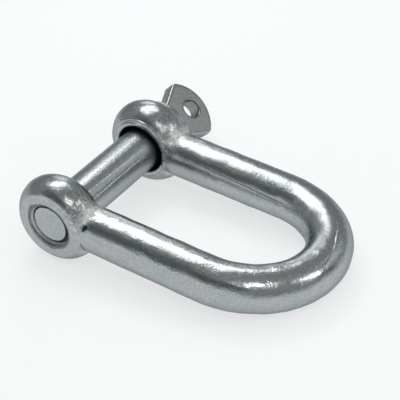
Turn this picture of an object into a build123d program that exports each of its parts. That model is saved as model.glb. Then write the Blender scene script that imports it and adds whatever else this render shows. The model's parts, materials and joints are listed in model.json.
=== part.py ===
"""Dee shackle, nominal 16 mm: a forged round-bar bow with two ears, closed by a one-piece screw pin.

The bow is a D of round bar lying in the XY plane. Its two legs run along X, from the crown at +X to the
ears at the origin. The pin lies along Y through both ears: it screws into the ear at -Y, slides through
the plain hole of the ear at +Y, and is turned and pulled by the flat fan-shaped eye outside that ear.
"""
import os
from math import atan2, cos, degrees, radians, sin, sqrt

from build123d import *

# ---- Driving dimensions, millimetres ----
# Bow
bar_d = 16.0              # round bar that the bow is forged from
leg_gap = 34.4            # clear width between the two straight legs
leg_length = 57.2         # pin axis to the end of the straight legs, where the crown starts
crown_point = 2.8         # how much further the crown reaches than a half circle would

# Ears
ear_d = 31.0              # largest diameter, at the crest of the barrel-shaped side
inner_land = 1.1          # flat ring of the inner face, outside the mouth of the plain hole
outer_land = 2.3          # flat ring of the outer face, outside that hole's other mouth
ear_thinning = 2.0        # the ear is forged this much thinner than the bar
ear_inset = 1.8           # inner face of the ear back from the inner side of its leg

# Screw pin
pin_d = 15.6              # plain shank
pin_clearance = 1.3       # shank to the plain hole, on the radius
hole_chamfer = 0.6        # mouths of the plain hole
thread_pitch = 2.0
thread_depth = 1.0        # crest to root, on the radius
thread_step = 0.65        # thread's crest below the shank, on the radius
thread_clearance = 0.2    # between the crests of the two threads, on the radius
tip_recess = 1.0          # pin's tip below the outer face of the threaded ear
tip_chamfer = 0.5
relief_length = 1.6       # plain groove between the thread and the shank
relief_undercut = 0.2     # that groove below the thread's root, on the radius
shoulder_gap = 0.6        # end of the shank to the threaded ear's inner face
mouth_sink = 1.25         # depth of the countersinks of the threaded hole

# Collar and eye of the pin
collar_flange = 3.1       # collar beyond the shank, on the radius
collar_thickness = 2.8
collar_chamfer = 0.6
eye_thickness = 6.0
eye_neck_width = 10.0     # where the eye leaves the collar
eye_width = 23.2          # across the two corners of the fan
eye_corner_height = 13.7  # collar to those corners
eye_height = 20.5         # collar to the top of the fan's rounded end
eye_offset = 0.6          # the eye is forged this far off the pin's axis, along its width
eye_hole_d = 6.8
eye_hole_margin = 3.9     # metal between the hole and the top of the fan
eye_bevel = 0.7
eye_turn = -42.4          # the fan's width from the plane of the bow, degrees about the pin

# ---- What follows from them ----
bar_r = bar_d / 2
leg_y = leg_gap / 2 + bar_r
flank_r = leg_y + 2 * crown_point            # each flank of the crown, to the bar's centre line
crown_r = leg_y - crown_point / 2            # its round top, tangent to both flanks
flank_angle = degrees(atan2(1.5, 2))         # where the flanks meet the top, whatever the sizes

pin_r = pin_d / 2
hole_r = pin_r + pin_clearance
mouth_r = hole_r + hole_chamfer

ear_r = ear_d / 2
ear_in = leg_gap / 2 + ear_inset
ear_thickness = bar_d - ear_thinning
ear_out = ear_in + ear_thickness
inner_face_r = mouth_r + inner_land
outer_face_r = mouth_r + outer_land
# The side is one arc from face to face that touches the ear's largest radius; this is where it does.
inner_drop = ear_r - inner_face_r
outer_drop = ear_r - outer_face_r
edge_span = sqrt(ear_thickness ** 2 + (inner_drop - outer_drop) ** 2)
divisor = inner_drop * ear_thickness + sqrt(inner_drop * outer_drop) * edge_span
crest_y = ear_in + inner_drop * (ear_thickness ** 2 + outer_drop * (outer_drop - inner_drop)) / divisor

crest_r = pin_r - thread_step                # pin's thread, outside
relief_r = crest_r - thread_depth - relief_undercut
bore_r = crest_r + thread_clearance          # ear's thread, inside

tip_y = -(ear_out - tip_recess)
shoulder_y = -(ear_in - shoulder_gap)
collar_r = pin_r + collar_flange
collar_top = ear_out + collar_thickness

groove_lap = 0.3                             # a thread cutter stands this far out of the surface it cuts
crest_flat = thread_pitch / 8


def thread_cutter(surface_r, depth, y_from, y_to):
    """Helical V groove about the Y axis, cut from surface_r; a negative depth cuts inwards."""
    out = 1 if depth > 0 else -1
    near_r = surface_r - out * groove_lap
    far_r = surface_r + depth
    half_mouth = (thread_pitch - crest_flat) / 2
    half_root = crest_flat / 2
    slope = (half_mouth - half_root) / abs(depth)
    half_near = half_mouth + slope * groove_lap
    with BuildPart() as cutter:
        with BuildLine():
            Helix(thread_pitch, y_to - y_from, surface_r, center=(0, y_from, 0), direction=(0, 1, 0))
        start = cutter.pending_edges[0] @ 0
        across = Vector(start.X, 0, start.Z).normalized()
        section = Plane(origin=(0, y_from, 0), x_dir=across, z_dir=across.cross(Vector(0, 1, 0)))
        with BuildSketch(section):
            with BuildLine():
                Polyline((near_r, -half_near), (far_r, -half_root), (far_r, half_root),
                         (near_r, half_near), close=True)
            make_face()
        sweep(is_frenet=True)
    return cutter.part


# ---- Bow ----
ear_thread = thread_cutter(bore_r, thread_depth, -ear_out - thread_pitch, -ear_in + thread_pitch)

with BuildPart() as bow:
    with BuildLine() as bar_line:
        leg = Line((ear_r, leg_y), (leg_length, leg_y))
        flank = JernArc(leg @ 1, leg % 1, flank_r, -flank_angle)
        top = JernArc(flank @ 1, flank % 1, crown_r, 2 * flank_angle - 180)
        other_flank = JernArc(top @ 1, top % 1, flank_r, -flank_angle)
        Line(other_flank @ 1, (ear_r, -leg_y))
    with BuildSketch(Plane(origin=(ear_r, leg_y, 0), z_dir=(1, 0, 0))):
        Circle(bar_r)
    sweep(path=bar_line.wire())
    with Locations((ear_r, leg_y, 0), (ear_r, -leg_y, 0)):
        Sphere(bar_r)                                  # rounded start of each leg, inside its ear
    for side in (1, -1):
        with BuildSketch(Plane.XY):
            with BuildLine():
                Polyline((inner_face_r, side * ear_in), (0, side * ear_in), (0, side * ear_out),
                         (outer_face_r, side * ear_out))
                ThreePointArc((outer_face_r, side * ear_out), (ear_r, side * crest_y),
                              (inner_face_r, side * ear_in))
            make_face()
        revolve(axis=Axis.Y)
    # plain hole, with its mouths broken
    with BuildSketch(Plane.XY):
        with BuildLine():
            Polyline((0, ear_in), (mouth_r, ear_in), (hole_r, ear_in + hole_chamfer),
                     (hole_r, ear_out - hole_chamfer), (mouth_r, ear_out), (0, ear_out),
                     close=True)
        make_face()
    revolve(axis=Axis.Y, mode=Mode.SUBTRACT)
    # threaded hole, countersunk on both sides, with its thread
    with BuildSketch(Plane.XY):
        with BuildLine():
            Polyline((0, -ear_in), (bore_r + mouth_sink, -ear_in), (bore_r, -ear_in - mouth_sink),
                     (bore_r, -ear_out + mouth_sink), (bore_r + mouth_sink, -ear_out), (0, -ear_out),
                     close=True)
        make_face()
    revolve(axis=Axis.Y, mode=Mode.SUBTRACT)
    add(ear_thread, mode=Mode.SUBTRACT)
bow.part.label = "bow"

# ---- Screw pin ----
pin_thread = thread_cutter(crest_r, -thread_depth, tip_y - thread_pitch, shoulder_y - relief_length / 2)
eye_across = (cos(radians(eye_turn)), 0, sin(radians(eye_turn)))
eye_normal = (-sin(radians(eye_turn)), 0, cos(radians(eye_turn)))
eye_foot = (eye_offset * eye_across[0], collar_top, eye_offset * eye_across[2])
eye_plane = Plane(origin=eye_foot, x_dir=eye_across, z_dir=eye_normal)

with BuildPart() as eye:
    with BuildSketch(eye_plane):
        with BuildLine():
            Polyline((-eye_width / 2, eye_corner_height), (-eye_neck_width / 2, 0),
                     (-eye_neck_width / 2, -collar_thickness / 2),
                     (eye_neck_width / 2, -collar_thickness / 2), (eye_neck_width / 2, 0),
                     (eye_width / 2, eye_corner_height))
            ThreePointArc((eye_width / 2, eye_corner_height), (0, eye_height),
                          (-eye_width / 2, eye_corner_height))
        make_face()
        with Locations((0, eye_height - eye_hole_margin - eye_hole_d / 2)):
            Circle(eye_hole_d / 2, mode=Mode.SUBTRACT)
    extrude(amount=eye_thickness / 2, both=True)
    flats = eye.faces().filter_by(Plane(origin=(0, 0, 0), z_dir=eye_normal))
    chamfer(flats.edges(), eye_bevel)

with BuildPart() as screw_pin:
    with BuildSketch(Plane.XY):
        with BuildLine():
            Polyline((0, tip_y), (crest_r - tip_chamfer, tip_y), (crest_r, tip_y + tip_chamfer),
                     (crest_r, shoulder_y - relief_length), (relief_r, shoulder_y - relief_length),
                     (relief_r, shoulder_y - (pin_r - relief_r) / 2), (pin_r, shoulder_y), (pin_r, ear_out),
                     (collar_r, ear_out), (collar_r, collar_top - collar_chamfer),
                     (collar_r - collar_chamfer, collar_top), (0, collar_top), close=True)
        make_face()
    revolve(axis=Axis.Y)
    add(pin_thread, mode=Mode.SUBTRACT)
    add(eye.part)
screw_pin.part.label = "screw_pin"

os.makedirs("parts", exist_ok=True)
export_step(bow.part, "parts/bow.step")
export_step(screw_pin.part, "parts/screw_pin.step")
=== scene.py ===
# %% [markdown]
# # A dee shackle in bright zinc
# A dee shackle is a D of forged round bar. Its two ends are forged into ears, and a screw pin
# closes them. The construction, the sizes and the motion are already settled in CAD, so the
# first step loads that model as a fixed frame. Everything below only gives it its looks: an even
# skin on the true shape, the threads, the zinc, and a plain studio.

# %% Load the packed shackle
import json
import math

import bpy
import numpy as np
from mathutils import Matrix, Vector, noise


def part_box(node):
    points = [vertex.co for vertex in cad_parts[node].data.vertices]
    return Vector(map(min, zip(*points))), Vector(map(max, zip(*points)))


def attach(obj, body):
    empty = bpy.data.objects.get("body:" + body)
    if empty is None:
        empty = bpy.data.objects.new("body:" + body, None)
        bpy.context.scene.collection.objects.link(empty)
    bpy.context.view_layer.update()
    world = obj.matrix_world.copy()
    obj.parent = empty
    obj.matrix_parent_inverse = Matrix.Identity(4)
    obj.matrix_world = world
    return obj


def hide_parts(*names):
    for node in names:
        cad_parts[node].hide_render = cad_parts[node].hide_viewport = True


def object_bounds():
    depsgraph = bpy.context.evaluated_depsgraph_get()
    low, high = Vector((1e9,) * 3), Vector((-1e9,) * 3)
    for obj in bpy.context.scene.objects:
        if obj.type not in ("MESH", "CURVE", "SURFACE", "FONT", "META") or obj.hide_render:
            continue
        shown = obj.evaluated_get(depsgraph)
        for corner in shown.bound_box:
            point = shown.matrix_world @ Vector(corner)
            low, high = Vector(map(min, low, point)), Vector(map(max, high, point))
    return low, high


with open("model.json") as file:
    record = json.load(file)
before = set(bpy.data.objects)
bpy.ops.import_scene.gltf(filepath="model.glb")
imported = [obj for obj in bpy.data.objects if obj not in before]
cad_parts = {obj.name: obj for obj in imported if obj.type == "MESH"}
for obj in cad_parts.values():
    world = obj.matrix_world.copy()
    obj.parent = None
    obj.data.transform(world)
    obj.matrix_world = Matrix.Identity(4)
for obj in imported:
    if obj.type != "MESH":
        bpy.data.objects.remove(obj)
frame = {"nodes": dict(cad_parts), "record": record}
cad_low, cad_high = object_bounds()
mm = 0.001
print("nodes:", sorted(frame["nodes"]))
print("size in mm:", [round(side / mm, 1) for side in cad_high - cad_low])

# %% [markdown]
# ## Measures
# A maker works from the drawing, so the sizes come from the frame wherever it states them: the
# boxes of the two pieces, and the radius of each seat in the record. What the frame doesn't
# state, such as the bar's radius or a fillet, is a named value here. From now on every length is
# in millimetres, until a mesh is written in metres.

# %% The main sizes, in millimetres
bow_low, bow_high = (np.array(corner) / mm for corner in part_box("bow"))
pin_low, pin_high = (np.array(corner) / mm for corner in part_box("screw_pin"))
mounts = {mount["name"]: mount for mount in frame["record"]["mounts"]}

bar_r = 8.0
leg_side = bow_high[1]                     # outer side of a leg
leg_y = leg_side - bar_r                   # its centre line
crown_point = 2.8                          # the crown reaches this much past a half circle
leg_end = bow_high[0] - bar_r - leg_y - crown_point
flank_r = leg_y + 2 * crown_point          # each flank of the crown
crown_r = leg_y - crown_point / 2          # its round top
crown_x = leg_end + 1.5 * crown_point
flank_angle = math.atan2(1.5, 2)           # where the flanks meet the top

ear_r = -bow_low[0]
ear_in, ear_out = 19.0, 33.0               # its two faces, from the middle plane
ear_half = (ear_out - ear_in) / 2
ear_mid = (ear_in + ear_out) / 2
inner_land, outer_land = 1.1, 2.3          # flat rings round the hole, on those two faces

shank_r = mounts["pin_seat"]["dims"]["r_mm"]
pin_clearance = 1.3
hole_r = shank_r + pin_clearance
hole_chamfer = 0.6
inner_face_r = hole_r + hole_chamfer + inner_land
outer_face_r = hole_r + hole_chamfer + outer_land

thread_pitch, thread_depth = 2.0, 1.0
thread_step = 0.65                         # the pin's thread is this far under the shank
thread_clearance = 0.2                     # between the two threads, on the radius
mouth_sink = 1.25                          # depth of the tapped hole's countersinks
pin_crest_r = shank_r - thread_step
ear_crest_r = pin_crest_r + thread_clearance
mouth_r = ear_crest_r + mouth_sink
print("leg centre line at y", round(leg_y, 2), "straight to x", round(leg_end, 2))

# %% [markdown]
# ## The side of an ear
# An ear is flat on its two faces and round like a barrel between them, because the steel bulges
# when the ear is struck. That side is one arc through the edges of both faces, and it has to
# touch the ear's full radius. It could be found by trial, but solving for it once is exact, so
# the ear is as wide as the frame says.


# %% The arc of an ear's side
def side_arc(inner_drop, outer_drop, thick):
    """How far the arc's crest is from the inner face, and the arc's radius."""
    span = math.hypot(thick, inner_drop - outer_drop)
    divisor = inner_drop * thick + math.sqrt(inner_drop * outer_drop) * span
    crest = inner_drop * (thick ** 2 + outer_drop * (outer_drop - inner_drop)) / divisor
    return crest, (crest ** 2 + inner_drop ** 2) / (2 * inner_drop)


crest, barrel_r = side_arc(ear_r - inner_face_r, ear_r - outer_face_r, ear_out - ear_in)
crest_y = ear_in + crest
print("an ear's side has radius", round(barrel_r, 2), "mm, with its crest at y", round(crest_y, 2))

# %% [markdown]
# ## Shapes as formulas
# A forging has no sharp inside corners: where the leg runs into the ear, the steel flows. One
# way to draw that is to push vertices by hand. A surer one is a *distance formula*: a function
# that says how far any point is from the surface, negative inside. Two shapes joined by a soft
# minimum get a fillet between them, and two that cut each other by a soft maximum get a worn
# edge. The formulas take arrays of points, so NumPy works through tens of thousands at once.


# %% Soft joins and soft edges
def ramp(value, over=1.0):
    """0 up to the value 0, then a straight rise to 1 over that length."""
    return np.clip(value / over, 0, 1)


def soft_max(a, b, radius):
    """The larger of two distances, with the edge between them rounded over about that radius."""
    share = np.clip(0.5 + (a - b) / (2 * radius), 0, 1)
    return b + (a - b) * share + radius * share * (1 - share)


def soft_min(a, b, radius):
    """The smaller of two distances, with a fillet of about that radius between them."""
    return -soft_max(-a, -b, radius)


edge_check = float(soft_max(np.zeros(1), np.zeros(1), 1.0)[0])
print("a soft maximum of 0 and 0 stands out by", edge_check)

# %% [markdown]
# ## The bow
# The bow is one round bar, bent hot into a D with a slightly pointed crown, and its ends are
# struck into ears. A tube joined to two turned ears would show a hard line between them. As
# formulas, bar and ear are joined by a small fillet with a bead of squeezed-out steel along it,
# and the same soft maximum cuts the holes, the worn edges and three small pits by one ear.

# %% The bow: a bent bar, two barrel-shaped ears, two holes
neck_fillet = 0.45
bead_height, bead_width = 0.85, 0.75
bead_start_x, bead_rise = 6.0, 3.0         # the bead begins here and is full this much further on
bead_margin, bead_fade = 0.8, 2.0          # it ends this far short of the ear's outer face
face_edge, mouth_edge, side_edge, pit_edge = 0.35, 0.4, 0.3, 0.15
pits = [(np.array([14.5, -31.3, 5.3]), 0.75), (np.array([15.4, -31.5, 5.7]), 0.45),
        (np.array([14.0, -31.7, 4.3]), 0.5)]


def bar_distance(x, side, z):
    """Distance to the bent round bar; side is the distance from the plane between the legs."""
    off_leg = np.hypot(np.minimum(x - ear_r, 0), side - leg_y)
    from_flank_x, from_flank_y = x - leg_end, side - (leg_y - flank_r)
    off_flank = np.hypot(from_flank_x, from_flank_y) - flank_r
    off_top = np.hypot(x - crown_x, side) - crown_r
    on_flank = np.arctan2(from_flank_x, from_flank_y) < flank_angle
    off_line = np.where(x < leg_end, off_leg, np.where(on_flank, off_flank, off_top))
    return np.hypot(off_line, z) - bar_r


def ear_distance(r, side):
    """Distance to an ear: a barrel cut by its two faces; r is measured from the pin's axis."""
    barrel = np.hypot(r - (ear_r - barrel_r), side - crest_y) - barrel_r
    return soft_max(barrel, np.abs(side - ear_mid) - ear_half, face_edge)


def neck_bead(p, bar, ear):
    """The squeezed-out steel where leg meets ear: highest on the joint, uneven along it."""
    x, y, z = p.T
    uneven = 0.55 + 0.25 * np.sin(1.9 * y + 1.1 * z) + 0.2 * np.sin(3.7 * z - 2.3 * y + 1.0)
    inside = ramp(x - bead_start_x, bead_rise) * ramp(ear_out - bead_margin - np.abs(y), bead_fade)
    return uneven * np.exp(-((bar - ear) / bead_width) ** 2) * inside


def bow_distance(p):
    """Distance to the whole bow."""
    x, y, z = p.T
    side = np.abs(y)
    r = np.hypot(x, z)
    bar, ear = bar_distance(x, side, z), ear_distance(r, side)
    metal = soft_min(bar, ear, neck_fillet) - bead_height * neck_bead(p, bar, ear)
    for centre, radius in pits:
        metal = soft_max(metal, radius - np.linalg.norm(p - centre, axis=1), pit_edge)
    metal = soft_max(metal, side - leg_side, side_edge)
    wall_r = np.where(y > 0, hole_r, mouth_r)
    chamfer = (hole_chamfer - (r - wall_r) - (ear_half - np.abs(side - ear_mid))) / math.sqrt(2)
    bored = soft_max(metal, wall_r - r, mouth_edge)
    return np.where(y > 0, soft_max(bored, chamfer, mouth_edge), bored)


leg_check = bow_distance(np.array([[40.0, leg_y, 0.0]])).round(2)
print("distance at the middle of a leg:", leg_check, "mm")

# %% [markdown]
# ## The screw pin
# The pin is one forging: a thread, a plain groove where the thread runs out, the shank, a collar
# and a flat fan with a hole, by which it is turned. Each of these is round or flat, so each has
# a short formula. A thread could be a V swept along a helix and cut away. Here it is a groove
# whose depth follows the turn and the place along the axis, so nothing has to be cut.

# %% The screw pin: thread, shank, collar and fan-shaped eye
tip_y = pin_low[1]
tip_bevel = 0.2
shoulder_y = -18.4                         # the shank ends here, just short of the tapped ear
relief_length, relief_undercut = 1.6, 0.2  # the plain groove between thread and shank
relief_r = pin_crest_r - thread_depth - relief_undercut
relief_y = shoulder_y - relief_length
collar_flange, collar_thickness = 3.1, 2.8
collar_r, collar_top = shank_r + collar_flange, ear_out + collar_thickness

eye_mount = mounts["eye_hole"]
eye_hole_r = eye_mount["dims"]["r_mm"]
eye_hole_x, eye_hole_y, eye_hole_z = np.array(eye_mount["pos_m"]) / mm
eye_normal = np.array(eye_mount["axis"])
eye_across = np.array([eye_normal[2], 0, -eye_normal[0]])
eye_bevel = 0.7
eye_half_thick = eye_mount["dims"]["length_mm"] / 2 + eye_bevel
eye_half_neck, eye_half_width, eye_corner_y = 5.0, 11.6, collar_top + 13.7
eye_top_y = pin_high[1]
fan_rise = eye_top_y - eye_corner_y
fan_r = (eye_half_width ** 2 + fan_rise ** 2) / (2 * fan_rise)

thread_steepness, thread_root = 1.15, 0.05  # how steep the V's flanks are, how flat its root
overlap = 1.0                              # how far one shape runs on inside the next
shoulder_edge, groove_edge, tip_edge, collar_edge = 0.4, 0.2, 0.15, 0.7
fan_edge, flat_edge, eye_hole_edge, eye_fillet = 1.2, 1.3, 0.6, 1.0


def thread_groove(turn, y, depth):
    """How deep a right-handed V thread is, at this turn about Y and this place along it."""
    phase = (y / thread_pitch + turn / (2 * math.pi)) % 1
    flank = 1 - np.abs(2 * phase - 1) * thread_steepness
    return depth * ramp(flank + thread_root)


def round_distance(r, turn, y):
    """Distance to all that was turned: the thread, its groove, the shank and the collar."""
    past_collar = y - collar_top + overlap
    shank = soft_max(r - shank_r, np.maximum(shoulder_y - y, past_collar), shoulder_edge)
    relief = soft_max(r - relief_r, past_collar, groove_edge)
    relief = np.maximum(relief, relief_y - 2 * overlap - y)
    crest = np.minimum(pin_crest_r, pin_crest_r - tip_bevel + (y - tip_y))
    threaded = r - (crest - thread_groove(turn, y, thread_depth))
    threaded = np.maximum(soft_max(threaded, tip_y - y, tip_edge), y - relief_y)
    off_collar = np.abs(y - (ear_out + collar_top) / 2) - (collar_top - ear_out) / 2
    collar = soft_max(off_collar, r - collar_r, collar_edge)
    return np.minimum(np.minimum(np.minimum(shank, relief), threaded), collar)


def eye_distance(x, y, z):
    """Distance to the fan: a flaring flat with a round top and a hole through it."""
    across = np.abs((x - eye_hole_x) * eye_across[0] + (z - eye_hole_z) * eye_across[2])
    through = np.abs(x * eye_normal[0] + z * eye_normal[2])
    flare = math.atan2(eye_half_width - eye_half_neck, eye_corner_y - collar_top)
    side = (across - eye_half_neck) * math.cos(flare) - (y - collar_top) * math.sin(flare)
    fan = soft_max(side, np.hypot(across, y - (eye_top_y - fan_r)) - fan_r, fan_edge)
    eye = soft_max(fan, collar_top - 2 * overlap - y, groove_edge)
    eye = soft_max(eye, through - eye_half_thick, flat_edge)
    return soft_max(eye, eye_hole_r - np.hypot(across, y - eye_hole_y), eye_hole_edge)


def pin_distance(p):
    """Distance to the whole pin."""
    x, y, z = p.T
    body = round_distance(np.hypot(x, z), np.arctan2(x, z), y)
    return soft_min(body, eye_distance(x, y, z), eye_fillet)


print("the eye's fan has radius", round(fan_r, 2), "mm and its hole", 2 * eye_hole_r, "mm")

# %% [markdown]
# ## An even skin
# The CAD mesh has long thin triangles, which show in a polished reflection. Blender's Remesh
# modifier turns a copy of it into small even quads, but it loses the exact surface. So each
# vertex is then moved on to the formula: the distance says how far, and its slope says which
# way. Between two such moves each vertex drifts to the middle of its neighbours, which evens the
# quads out.

# %% Remesh a CAD piece and pull it on to its formula
bow_cell, pin_cell = 0.45, 0.32            # sizes of the remeshed quads
least_slope = 0.05


def slope(distance, p, step=0.02):
    """The way in which the distance grows fastest, at each point."""
    columns = []
    for axis in range(3):
        shift = np.zeros(3)
        shift[axis] = step
        columns.append((distance(p + shift) - distance(p - shift)) / (2 * step))
    return np.stack(columns, 1)


def pull_on(distance, p, times=4, reach=0.4):
    """Moves each point on to the surface, at most that reach at a time."""
    for _ in range(times):
        way = slope(distance, p)
        size = np.maximum((way ** 2).sum(1), least_slope)
        move = np.clip(distance(p) / size, -reach, reach)
        p = p - way * move[:, None]
    return p


def even_out(p, edges, amount=0.5):
    """Moves each point towards the mean of its neighbours."""
    total = np.zeros_like(p)
    count = np.zeros(len(p))
    for a, b in ((0, 1), (1, 0)):
        np.add.at(total, edges[:, a], p[edges[:, b]])
        np.add.at(count, edges[:, a], 1)
    return p + amount * (total / np.maximum(count, 1)[:, None] - p)


def read_points(mesh):
    """The mesh's vertices, in millimetres."""
    flat = np.empty(len(mesh.vertices) * 3, np.float32)
    mesh.vertices.foreach_get("co", flat)
    return flat.reshape(-1, 3).astype(float) / mm


def write_points(mesh, p):
    """Puts the points back, none of them outside the CAD model's box."""
    p = np.clip(p, np.array(cad_low) / mm, np.array(cad_high) / mm)
    mesh.vertices.foreach_set("co", (p * mm).astype(np.float32).ravel())
    mesh.update()


def read_edges(mesh):
    """The two vertices of every edge."""
    flat = np.empty(len(mesh.edges) * 2, np.int32)
    mesh.edges.foreach_get("vertices", flat)
    return flat.reshape(-1, 2)


def remeshed(name, node, voxel):
    """A new mesh: the CAD node rebuilt in even cells of that size."""
    source = bpy.data.objects.new(name + "_start", frame["nodes"][node].data.copy())
    bpy.context.scene.collection.objects.link(source)
    remesh = source.modifiers.new("even quads", "REMESH")
    remesh.mode = "VOXEL"
    remesh.voxel_size = voxel * mm
    bpy.context.view_layer.update()
    evaluated = source.evaluated_get(bpy.context.evaluated_depsgraph_get())
    mesh = bpy.data.meshes.new_from_object(evaluated)
    bpy.data.objects.remove(source)
    return mesh


def skin(name, node, distance, voxel, rounds=4):
    """A new object: the remeshed CAD node, evened out and pulled on to its formula."""
    mesh = remeshed(name, node, voxel)
    edges = read_edges(mesh)
    p = pull_on(distance, read_points(mesh))
    for _ in range(rounds):
        p = pull_on(distance, even_out(p, edges), times=2)
    write_points(mesh, p)
    mesh.shade_smooth()
    mesh.materials.clear()
    piece = bpy.data.objects.new(name, mesh)
    bpy.context.scene.collection.objects.link(piece)
    worst = round(float(np.abs(distance(p)).max()), 3)
    print(name, len(mesh.polygons), "faces, worst error", worst, "mm")
    return piece


bow = skin("forged_bow", "bow", bow_distance, bow_cell)
pin = skin("forged_pin", "screw_pin", pin_distance, pin_cell)

# %% [markdown]
# ## Hammer work
# The ears are struck in a die, and the bar has the slight waviness of hot-forged steel. It could
# be a bump in the material, but a bump doesn't move the outline. Shallow dents in the mesh, a
# tenth of a millimetre deep, are enough to break up a highlight. They only go inwards, so the
# piece keeps its size.

# %% Dent the bow
dent_depth, dent_spacing = 0.12, 6.0
fade, finer, octaves = 0.9, 2.0, 2         # each octave is weaker and finer than the last


def dent(piece, distance, depth, spacing):
    """Presses shallow hollows into the piece, each about one spacing across."""
    p = read_points(piece.data)
    way = slope(distance, p)
    way /= np.linalg.norm(way, axis=1)[:, None]
    hollow = np.array([noise.fractal(Vector(q) / spacing, fade, finer, octaves) for q in p])
    write_points(piece.data, p - way * (depth * ramp(0.5 + hollow))[:, None])
    print(piece.name, "dented by up to", depth, "mm")


dent(bow, bow_distance, dent_depth, dent_spacing)

# %% [markdown]
# ## Where painted shade, painted highlights and wear lie
# Painted shade darkens the bore, the threads and the pits, and a ring round the
# collar. The upper side of each forged neck is mottled, and a painted highlight in cream lies
# where the leg meets the ear. All of this could be painted by hand. Worked out from the same
# distances it follows the shape, and it is stored as one number for each vertex, which a material
# can read.


# %% Marks on the bow
face_skin = 0.2                            # a vertex this near a face counts as lying on it
bore_margin, bore_fade = 0.4, 0.6          # painted shade reaches this far past the bore's wall
collar_shade, collar_fade = 0.7, 0.5       # and this far out from the collar
pit_reach = 1.3                            # and this many radii from the middle of a pit
neck_reach, neck_fade = 12, 10             # the mottling ends this far from leg and ear's joint
neck_start_x, neck_end_x, neck_start_z = -1, 17, 1
sheen_reach = 3.2                          # the painted highlight keeps this near the joint
sheen_start_x, sheen_end_x, sheen_start_z = 7, 16, 5


def mark(piece, name, values):
    """Stores one number for each vertex."""
    attribute = piece.data.attributes.new(name, "FLOAT", "POINT")
    attribute.data.foreach_set("value", np.clip(values, 0, 1).astype(np.float32))


def mark_bow(piece):
    """Painted shade in the bores, the pits and round the collar; rub and a painted highlight on
    the necks.
    """
    p = read_points(piece.data)
    x, y, z = p.T
    side, r = np.abs(y), np.hypot(x, z)
    inside_ear = ear_half - np.abs(side - ear_mid)
    # Painted shade: in the bore, in the pits, and in a ring round the collar where it meets the
    # ear.
    in_bore = ramp(hole_r + bore_margin - r, bore_fade) * ramp(inside_ear, bore_fade)
    under_collar = (y > ear_out - face_skin) * ramp(collar_r + collar_shade - r, collar_fade)
    in_pit = np.max([ramp(pit_reach - np.linalg.norm(p - centre, axis=1) / radius)
                     for centre, radius in pits], 0)
    mark(piece, "grime", np.maximum(np.maximum(in_bore, in_pit * 4), 0.7 * under_collar))

    from_joint = np.abs(bar_distance(x, side, z) - ear_distance(r, side))
    along_neck = ramp(x - neck_start_x, 6) * ramp(neck_end_x - x, 2)
    mark(piece, "rub",
         ramp(neck_reach - from_joint, neck_fade) * along_neck * ramp(z - neck_start_z, 4))
    # A painted highlight in cream, on a rougher finish, on the neck beside the joint, above and
    # below.
    along_sheen = ramp(x - sheen_start_x, 2) * ramp(sheen_end_x - x, 2)
    mark(piece, "scale", ramp(sheen_reach - from_joint, sheen_reach) * along_sheen
         * ramp(np.abs(z) - sheen_start_z, 2))
    print("marked", len(p), "vertices of the bow")


mark_bow(bow)


# %% Marks on the pin
def no_rub_or_sheen(piece):
    """A piece without a forged neck has neither rub nor a painted highlight."""
    for name in ("rub", "scale"):
        mark(piece, name, np.zeros(len(piece.data.vertices)))


def mark_pin(piece):
    """Painted shade on the shank inside the plain ear, in the thread and round the eye's hole."""
    p = read_points(piece.data)
    x, y, z = p.T
    r = np.hypot(x, z)
    # Painted shade on the shank where the plain ear covers it, in the thread's roots, and round
    # the eye's hole.
    in_ear = ramp(y - 15, 5) * (y < ear_out - face_skin) * (r < shank_r + 0.3)
    along_thread = (y > tip_y + 0.7) * (y < shoulder_y + face_skin)
    in_thread = along_thread * (r < pin_crest_r - 0.3)
    across = (x - eye_hole_x) * eye_across[0] + (z - eye_hole_z) * eye_across[2]
    from_eye_hole = np.abs(np.hypot(across, y - eye_hole_y) - eye_hole_r)
    in_eye_hole = ramp(1.2 - from_eye_hole) * (y > collar_top)
    mark(piece, "grime", 0.65 * in_ear + 0.9 * in_thread + 0.22 * in_eye_hole)
    no_rub_or_sheen(piece)
    print("marked", len(p), "vertices of the pin")


mark_pin(pin)

# %% [markdown]
# ## The tapped ear
# The thread cut in the ear shows in its countersunk mouth, beside the pin's tip. Remeshed quads
# would blunt it. A thread is a surface of revolution whose radius also changes with the turn, so
# it is built as a grid: rings along the axis, and on each ring a radius from the groove's
# formula or from the countersink, whichever is larger.

# %% The thread inside the ear
liner_start, liner_stop, ring_step = -ear_out + 0.12, -ear_in - 0.1, 0.14
liner_r, liner_steps = mouth_r + 0.6, 120
mouth_lap = 0.03                           # the liner stands this far inside the bored wall


def tube(name, inner_radius, outer_radius, places, steps):
    """A closed tube about Y: inner_radius(turn, y) inside, a plain radius outside."""
    turns = np.arange(steps) * 2 * math.pi / steps
    rings = [(inner_radius(turns, y), y) for y in places]
    rings += [(np.full(steps, outer_radius), y) for y in reversed(places)]
    points = [np.stack([radius * np.sin(turns), np.full(steps, y), radius * np.cos(turns)], 1)
              for radius, y in rings]
    faces = []
    for ring in range(len(rings)):
        here, there = ring * steps, (ring + 1) % len(rings) * steps
        for i in range(steps):
            after = (i + 1) % steps
            faces.append((here + i, there + i, there + after, here + after))
    mesh = bpy.data.meshes.new(name)
    mesh.from_pydata((np.concatenate(points) * mm).tolist(), [], faces)
    mesh.validate()
    mesh.shade_smooth()
    piece = bpy.data.objects.new(name, mesh)
    bpy.context.scene.collection.objects.link(piece)
    print(name, len(faces), "faces")
    return piece


def tapped_radius(turn, y):
    """The ear's thread, or the countersink at either face where that is wider."""
    groove = ear_crest_r + thread_groove(turn, np.full_like(turn, y), thread_depth)
    from_face = min(ear_out + y, -ear_in - y)
    return np.maximum(groove, mouth_r - mouth_lap - max(from_face, 0))


liner_places = np.arange(liner_start, liner_stop, ring_step)
ear_thread = tube("ear_thread", tapped_radius, liner_r, liner_places, liner_steps)
p = read_points(ear_thread.data)
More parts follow.
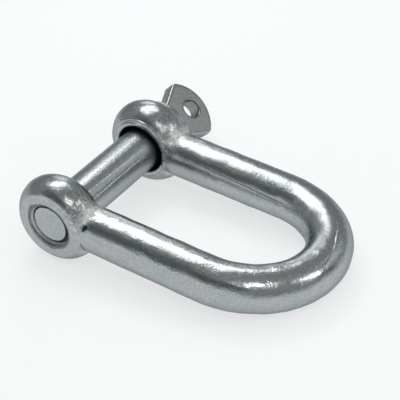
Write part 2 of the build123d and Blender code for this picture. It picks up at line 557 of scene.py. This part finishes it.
# Painted shade over the tapped thread: light all over, deeper in its roots.
in_root = ramp(np.hypot(p[:, 0], p[:, 2]) - ear_crest_r - 0.2)
mark(ear_thread, "grime", 0.1 + 0.45 * in_root)
no_rub_or_sheen(ear_thread)

# %% [markdown]
# ## Writing materials as sums
# Node trees built one socket at a time are hard to read. A small class wraps a socket, and
# overloads the arithmetic signs, so that `1 - wear * 0.5` adds the Math nodes itself. Every
# other node comes from one method that takes its type, its settings and what goes into its
# sockets.


# %% A socket that can be added and multiplied
class Wire:
    """An output socket that takes part in Python arithmetic."""

    def __init__(self, finish, socket):
        self.finish, self.socket = finish, socket

    def math(self, operation, *others):
        inputs = dict(enumerate((self, *others)))
        return self.finish.add("ShaderNodeMath", {"operation": operation}, inputs)

    def __add__(self, other): return self.math("ADD", other)
    def __radd__(self, other): return self.math("ADD", other)
    def __mul__(self, other): return self.math("MULTIPLY", other)
    def __rmul__(self, other): return self.math("MULTIPLY", other)
    def __sub__(self, other): return self.math("SUBTRACT", other)
    def __rsub__(self, other): return (self * -1) + other
    def __neg__(self): return self * -1
    def clamp(self): return self.math("MAXIMUM", 0.0).math("MINIMUM", 1.0)


class Finish:
    """A material under construction."""

    def __init__(self, name):
        self.material = bpy.data.materials.new(name)
        self.material.use_nodes = True
        self.tree = self.material.node_tree
        self.tree.nodes.clear()

    def add(self, kind, settings=None, inputs=None, output=0):
        """Adds a node, sets it, fills or links its sockets, and returns one output as a Wire."""
        node = self.tree.nodes.new(kind)
        for name, value in (settings or {}).items():
            if name == "stops":
                elements = node.color_ramp.elements
                while len(elements) < len(value):
                    elements.new(0.5)
                for element, (position, colour) in zip(elements, value):
                    element.position = position
                    element.color = (*colour, 1)
            else:
                setattr(node, name, value)
        for name, value in (inputs or {}).items():
            if isinstance(value, Wire):
                self.tree.links.new(value.socket, node.inputs[name])
            else:
                node.inputs[name].default_value = value
        return Wire(self, node.outputs[output])

    def speckle(self, place, size, detail=2.0, rough=0.55):
        """Noise between 0 and 1, whose cells are about that many millimetres across."""
        return self.add("ShaderNodeTexNoise", {"noise_dimensions": "3D"},
                        {"Vector": place, "Scale": 1 / (size * mm), "Detail": detail,
                         "Roughness": rough})

    def mix(self, factor, a, b, blend="MIX"):
        """One colour laid over another by that factor."""
        return self.add("ShaderNodeMix", {"data_type": "RGBA", "blend_type": blend},
                        {"Factor": factor, "A": a, "B": b}, output="Result")

    def done(self, surface):
        """Joins the surface to the material's output."""
        output = self.tree.nodes.new("ShaderNodeOutputMaterial")
        self.tree.links.new(surface.socket, output.inputs["Surface"])
        print("finish", self.material.name, "has", len(self.tree.nodes), "nodes")
        return self.material


print("operators ready:", [name for name in vars(Wire) if name.startswith("__r")])

# %% [markdown]
# ## Bright zinc
# Zinc plating is a metal skin, so Metallic is 1 and the colour is the colour of its reflection:
# a light grey, warmer in some patches and bluer in others. One grey with one roughness would
# look like a mirror. So noise of several sizes makes it duller in places, and a fine grainy bump
# breaks up each highlight at its edges. On top of that lie the stored marks: the mottled necks,
# a painted highlight in cream beside them and painted shade in the bores, threads and pits.

# %% Zinc over forged steel
zinc_warm = (0.50, 0.495, 0.485)
zinc_plain = (0.48, 0.50, 0.51)
zinc_blue = (0.44, 0.49, 0.50)
# The cream is a painted highlight on the necks, the teal painted shade in bores, threads, pits and
# round the collar.
sheen_cream = (0.86, 0.86, 0.82)
shade_teal = (0.012, 0.05, 0.06)
grazing_grey = (0.5, 0.52, 0.53)           # its colour at a grazing angle
tint_stops = [(0.34, zinc_warm), (0.5, zinc_plain), (0.66, zinc_blue)]
patch_size, wave_size, blotch_size = 8.0, 2.4, 1.6
mottle_size, grain_size, crystal_size = 1.3, 0.9, 0.6
zinc_level = 0.76                          # how bright it is before the noise


def zinc(name, grain, wave, salt, dull, details):
    """Bright zinc: grain and wave are heights in mm, salt is how speckled it is, dull is its
    least roughness, and details gives the height, brightness and warmth of its own marks;
    that brightness holds painted highlights and painted shade on some of them."""
    f = Finish(name)
    place = f.add("ShaderNodeTexCoord", output="Object")
    patches = f.speckle(place, patch_size, 3.0)
    blotches = f.speckle(place, blotch_size, 4.0, 0.65)
    grains = f.speckle(place, grain_size, 3.0, 0.7)
    mottle = f.speckle(place, mottle_size, 3.0, 0.7) - 0.5
    crystals = f.speckle(place, crystal_size, 1.0)
    waves = f.speckle(place, wave_size, 1.0)
    grime, rub, scale = [f.add("ShaderNodeAttribute", {"attribute_name": stored}, output="Fac")
                         for stored in ("grime", "rub", "scale")]
    height, bright, warmth = details(f, place)

    tint = f.add("ShaderNodeValToRGB", {"stops": tint_stops},
                 {"Fac": patches * 0.7 + blotches * 0.3 - warmth})
    level = (zinc_level - salt * 0.5 + blotches * 0.25 + grains * salt + mottle * rub * 2.8
             + bright).clamp()
    shade = f.add("ShaderNodeCombineColor", None, {"Red": level, "Green": level, "Blue": level})
    # Painted highlight in cream on the necks, then painted shade in teal over the recesses.
    sheen_share = (scale * (1.0 + mottle * 2.5)).clamp()
    shade_share = (grime * (0.6 + blotches * 0.8)).clamp()
    colour = f.mix(1.0, tint, shade, "MULTIPLY")
    colour = f.mix(sheen_share, colour, (*sheen_cream, 1))
    colour = f.mix(shade_share, colour, (*shade_teal, 1))

    roughness = dull + blotches * 0.12 + patches * 0.10 + grime * 0.15 + scale * 0.3
    height = height + crystals * grain + waves * wave + mottle * rub * 0.26
    bump = f.add("ShaderNodeBump", None, {"Strength": 1.0, "Distance": mm, "Height": height})
    shader = f.add("ShaderNodeBsdfPrincipled", None,
                   {"Base Color": colour, "Metallic": 1.0, "Roughness": roughness,
                    "Normal": bump, "Specular Tint": (*grazing_grey, 1)})
    return f.done(shader)


print("cells of the zinc's noise from", crystal_size, "to", patch_size, "mm across")

# %% [markdown]
# ## The marks of the making
# Each piece keeps the marks of how it was made. The bow has rings from the tool that faced its
# ears, a lap over the crown and a seam down one leg where the steel folded, and a crease on one
# ear. The pin has lines along its drawn shank. The rings, the lap and the pin's two deep lines are
# also painted brighter as highlights, and the seam and the crease darker as shade. An image could
# hold them, but the piece would have to be unwrapped first. Drawn as ridges in the object's own
# coordinates, they stay sharp from near by and lie where the sizes put them.

# %% Ridges, radii and turns in a material
degrees_in_radian = 180 / math.pi


def split(f, place):
    """The x, y and z of a place, in millimetres."""
    return [f.add("ShaderNodeSeparateXYZ", None, {"Vector": place}, output=axis) * (1 / mm)
            for axis in "XYZ"]


def length(a, b):
    """How far the point (a, b) is from the origin."""
    return (a * a + b * b).math("SQRT")


def turn_of(a, b):
    """The turn of the point (b, a) about the origin, in degrees."""
    return a.math("ARCTAN2", b) * degrees_in_radian


def ridge(wire, half_width):
    """1 where the wire is 0, falling to 0 at that distance on both sides."""
    return (1 - wire.math("ABSOLUTE") * (1 / half_width)).clamp()


print("a material counts turns in radians of", round(degrees_in_radian, 2), "degrees")


# %% The marks of the bow
def turned_rings(r, y):
    """Two fine rings on the inner face of each ear."""
    inner_r, outer_r = 10.9, 12.0
    inner_side = ((ear_in + 3) - y.math("ABSOLUTE")).clamp()
    return (ridge(r - inner_r, 0.22) + ridge(r - outer_r, 0.2)) * inner_side


def crown_lap(x, y, z, wander):
    """A folded line over the crown, fading out on both sides of its middle."""
    middle, half_span = 9, 30
    middle_r, drift, least_r, half_width = 27.4, 0.075, 26.1, 0.26
    turn = turn_of(y, x - crown_x)
    line_r = (middle_r - turn * drift).math("MAXIMUM", least_r)
    fading = (1 - (turn - middle).math("ABSOLUTE") * (1 / half_span)).clamp().math("SQRT")
    on_crown = (z * 0.5).clamp() * fading
    line = ridge(length(x - crown_x, y) - line_r + wander, half_width)
    return line * on_crown * (x - crown_x).clamp()


def leg_seam(x, y, z, wander):
    """A shallow seam that winds slowly round the +Y leg, on its upper inner side."""
    start_turn, winding = 52, 0.33
    start_x, end_x = 15, 64
    turn = turn_of(leg_y - y, z)
    along_leg = ((x - start_x) * 0.3).clamp() * ((end_x - x) * 0.15).clamp()
    on_leg = along_leg * y.clamp() * (leg_y - y).clamp()
    return ridge(turn - (x - 17) * winding - start_turn + wander * 2, 2.0) * on_leg


def ear_crease(r, x, y, z):
    """A short crease round the outer shoulder of the -Y ear."""
    crease_r, crease_turn = 12.7, 29
    near_face = (-y - ear_out + 2).clamp()
    return ridge(r - crease_r, 0.3) * near_face * ridge(turn_of(z, x) - crease_turn, 9.0)


def bow_marks(f, place):
    """Rings and lap stand up and are painted bright as highlights; seam and crease are sunk and
    painted dark as shade.
    """
    x, y, z = split(f, place)
    r = length(x, z)
    wander = f.speckle(place, 6.0) * 0.8 - 0.4
    rings, lap = turned_rings(r, y), crown_lap(x, y, z, wander)
    line = leg_seam(x, y, z, wander) * 0.7 + ear_crease(r, x, y, z)
    height = rings * 0.22 + lap * 0.12 - line * 0.15
    # Brightness: a painted highlight on rings and lap, painted shade along seam and crease.
    return height, rings * 0.6 + lap * 0.4 - line * 0.5, 0.0


forged_zinc = zinc("forged_zinc", grain=0.08, wave=0.05, salt=0.5, dull=0.14, details=bow_marks)
bow.data.materials.append(forged_zinc)


# %% The marks of the pin, and of a cut thread
def pin_marks(f, place):
    """Fine draw lines along the shank, two of them deep and painted bright as highlights; the eye
    is duller and warmer.
    """
    x, y, z = split(f, place)
    stretched = f.add("ShaderNodeMapping", {"vector_type": "POINT"},
                      {"Vector": place, "Scale": (1.0, 0.015, 1.0)})
    slanted_turn, straight_turn, half_width, deep_end_y = 41.5, 60, 1.3, 15
    turn = turn_of(x, z)
    on_shank = (ear_out - y).clamp() * (length(x, z) - (shank_r - 1)).clamp()
    slanted = ridge(turn - slanted_turn - y * 0.25, half_width)
    straight = ridge(turn - straight_turn, half_width) * 1.5
    deep = (slanted + straight) * on_shank * (deep_end_y - y).clamp()
    fine = f.speckle(stretched, 0.5, 3.0, 0.6) * on_shank
    on_eye = (y - collar_top).clamp()
    # Brightness: the deep lines are painted brighter as highlights; the eye is darker.
    return deep * 0.13 + fine * 0.06, deep * 0.7 - on_eye * 0.14, on_eye * 0.1


def no_marks(f, place):
    """A freshly cut surface: no marks of its own, and lighter."""
    return 0.0, 0.3, 0.0


drawn_zinc = zinc("drawn_zinc", grain=0.07, wave=0.03, salt=0.45, dull=0.16, details=pin_marks)
cut_zinc = zinc("cut_zinc", grain=0.16, wave=0.05, salt=0.9, dull=0.30, details=no_marks)
pin.data.materials.append(drawn_zinc)
ear_thread.data.materials.append(cut_zinc)

# %% [markdown]
# ## Riding on the frame
# On the real shackle the pin is drawn out of the bow and the thread of the ear stays behind. The
# pieces could be parented by hand, but the frame already knows both bodies and the joint. So
# each piece only says which body carries it and which CAD node it stands for, and the frame
# moves it.

# %% Join the pieces to the CAD bodies
riders = ((bow, "bow", "bow_zinc"), (ear_thread, "bow", "bow_zinc"),
          (pin, "screw_pin", "pin_zinc"))
for piece, body, slot in riders:
    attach(piece, body)
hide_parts("bow")
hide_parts("screw_pin")

# %% [markdown]
# ## Floor
# The shackle lies on its ears and its crown, so the floor touches all three: it is tilted by a
# few degrees to the plane of the bow. A plain white plane would turn grey away from the lamps.
# So the floor also shows partly as plain white paper, which keeps it pale and still lets it
# take a soft shadow.

# %% The floor
paper_white = (0.975, 0.985, 0.99)
floor_grey = (0.88, 0.89, 0.90)
floor_size = (6, 6)                        # metres
floor_gap = 0.2
floor_paper = 0.66


def stage_card(name, centre, size, facing, colour, paper=0):
    """A flat card of the studio; paper is how far it shows as plain white paper."""
    mesh = bpy.data.meshes.new(name)
    w, h = size[0] / 2, size[1] / 2
    mesh.from_pydata([(-w, -h, 0), (w, -h, 0), (w, h, 0), (-w, h, 0)], [], [(0, 1, 2, 3)])
    card = bpy.data.objects.new(name, mesh)
    bpy.context.scene.collection.objects.link(card)
    card.location = centre
    card.rotation_mode = "QUATERNION"
    card.rotation_quaternion = Vector(facing).to_track_quat("Z", "Y")
    f = Finish(name)
    surface = f.add("ShaderNodeBsdfDiffuse", None, {"Color": (*colour, 1)})
    if paper:
        camera_ray, glossy_ray, clear_ray = [
            f.add("ShaderNodeLightPath", output=way)
            for way in ("Is Camera Ray", "Is Glossy Ray", "Is Transmission Ray")]
        seen = (camera_ray + glossy_ray + clear_ray).clamp() * paper
        white = f.add("ShaderNodeEmission", None, {"Color": (*paper_white, 1), "Strength": 1.0})
        surface = f.add("ShaderNodeMixShader", None, {0: seen, 1: surface, 2: white})
    mesh.materials.append(f.done(surface))
    return card


crown_line_x = bow_high[0] - bar_r
floor_normal = Vector((-(ear_r - bar_r) / crown_line_x, 0, 1)).normalized()
floor_place = -floor_normal * ((ear_r + floor_gap) * mm)
stage_card("floor", floor_place, floor_size, floor_normal, floor_grey, paper=floor_paper)
floor_tilt = math.degrees(floor_normal.angle(Vector((0, 0, 1))))
print("floor tilt", round(floor_tilt, 2), "degrees")

# %% [markdown]
# ## Light
# Polished metal looks like what it reflects, so the lamps are placed for their reflections. A
# large soft lamp behind and above gives the broad highlight. Small ones put a spark on the ears,
# a long low one in front lights the lower sides, and grey cards in front keep the band between
# them dark. An even sky would leave all of it the same grey. The sizes here are in metres.

# %% Lamps, cards and world
hub = Vector((45.0, 0.0, 5.0)) * mm        # every lamp and card faces this place
sky_colour, sky_strength = (0.95, 1.0, 1.0), 0.34


def aim(way, long_side):
    """The turn that faces something along way, with its second side along long_side."""
    z = Vector(way).normalized()
    x = Vector(long_side).cross(z).normalized()
    return Matrix((x, z.cross(x), z)).transposed().to_quaternion()


def lamp(name, way, distance, size, radiance, long_side=(0, 1, 0), glossy=True):
    """A rectangular lamp at that distance from the hub, facing it."""
    data = bpy.data.lights.new(name, "AREA")
    data.shape = "RECTANGLE"
    data.size, data.size_y = size
    data.energy = radiance * math.pi * size[0] * size[1]
    light = bpy.data.objects.new(name, data)
    bpy.context.scene.collection.objects.link(light)
    light.location = hub + Vector(way).normalized() * distance
    light.rotation_mode = "QUATERNION"
    light.rotation_quaternion = aim(way, long_side)
    light.visible_glossy = glossy


def reflected_card(name, way, distance, size, colour):
    """A card that faces the hub and is seen in reflections only."""
    place = hub + Vector(way).normalized() * distance
    card = stage_card(name, place, size, -Vector(way), colour)
    card.visible_camera = card.visible_diffuse = False
    card.visible_shadow = card.visible_transmission = False


lamp("key_softbox", way=(-0.497, 0.316, 0.809), distance=0.42, size=(0.13, 0.33), radiance=4.0,
     long_side=(0.27, 0.72, -0.12))
lamp("back_strip", way=(-0.60, 0.74, 0.31), distance=0.38, size=(0.10, 0.12), radiance=2.0)
lamp("right_lamp", way=(0.783, 0.177, 0.596), distance=0.45, size=(0.06, 0.06), radiance=18.0)
lamp("front_lamp", way=(0.352, -0.433, 0.83), distance=0.45, size=(0.06, 0.06), radiance=18.0)
lamp("eye_glow", way=(0.56, 0.651, 0.515), distance=0.5, size=(0.2, 0.2), radiance=0.55)
lamp("low_glow", way=(-0.2, -0.93, 0.16), distance=0.5, size=(0.18, 0.7), radiance=0.68,
     long_side=(0.93, -0.2, 0))
lamp("fill", way=(0.0, 0.0, 1.0), distance=1.5, size=(2.0, 2.0), radiance=0.75, glossy=False)
reflected_card("front_card", way=(0.10, -0.77, 0.63), distance=0.5, size=(0.30, 0.22),
               colour=(0.11, 0.12, 0.12))
reflected_card("left_card", way=(-0.446, -0.637, 0.63), distance=0.55, size=(0.34, 0.3),
               colour=(0.18, 0.2, 0.2))
reflected_card("right_card", way=(0.87, 0.388, 0.31), distance=0.55, size=(0.18, 0.16),
               colour=(0.06, 0.06, 0.07))

world = bpy.data.worlds.new("studio")
bpy.context.scene.world = world
world.use_nodes = True
sky = world.node_tree.nodes["Background"]
sky.inputs["Color"].default_value = (*sky_colour, 1)
sky.inputs["Strength"].default_value = sky_strength
print("studio has", len(bpy.data.lights), "lamps")

# %% [markdown]
# ## Camera
# The camera looks down on the shackle from one corner, with a long lens, so near and far ear
# look much the same size. Blender can point a camera at a target with a constraint, but a slight
# roll is easier to state as a third angle. So the camera's matrix is built from its azimuth,
# elevation and roll.

# %% The camera
look_at = Vector((34.0, 7.2, 0.0)) * mm
azimuth, elevation, roll = map(math.radians, (33.515, 38.651, 0.232))
focal_mm, sensor_mm, away = 122.12, 36.0, 463.44
nearest, furthest = 0.05, 20               # metres

back = Vector((math.sin(azimuth) * math.cos(elevation),
               -math.cos(azimuth) * math.cos(elevation), math.sin(elevation)))
right = Vector((math.cos(azimuth), math.sin(azimuth), 0))
up = back.cross(right)
turned_right = right * math.cos(roll) + up * math.sin(roll)
turned_up = up * math.cos(roll) - right * math.sin(roll)
camera_data = bpy.data.cameras.new("camera")
camera_data.lens, camera_data.sensor_width = focal_mm, sensor_mm
camera_data.clip_start, camera_data.clip_end = nearest, furthest
camera = bpy.data.objects.new("camera", camera_data)
bpy.context.scene.collection.objects.link(camera)
place = Matrix((turned_right, turned_up, back)).transposed().to_4x4()
place.translation = look_at + back * away * mm
camera.matrix_world = place
bpy.context.scene.camera = camera
bpy.context.scene.view_settings.view_transform = "Standard"
print("camera is", round(away), "mm away")

# %% [markdown]
# ## Sizes, and the end
# Looks must not change a part's size.
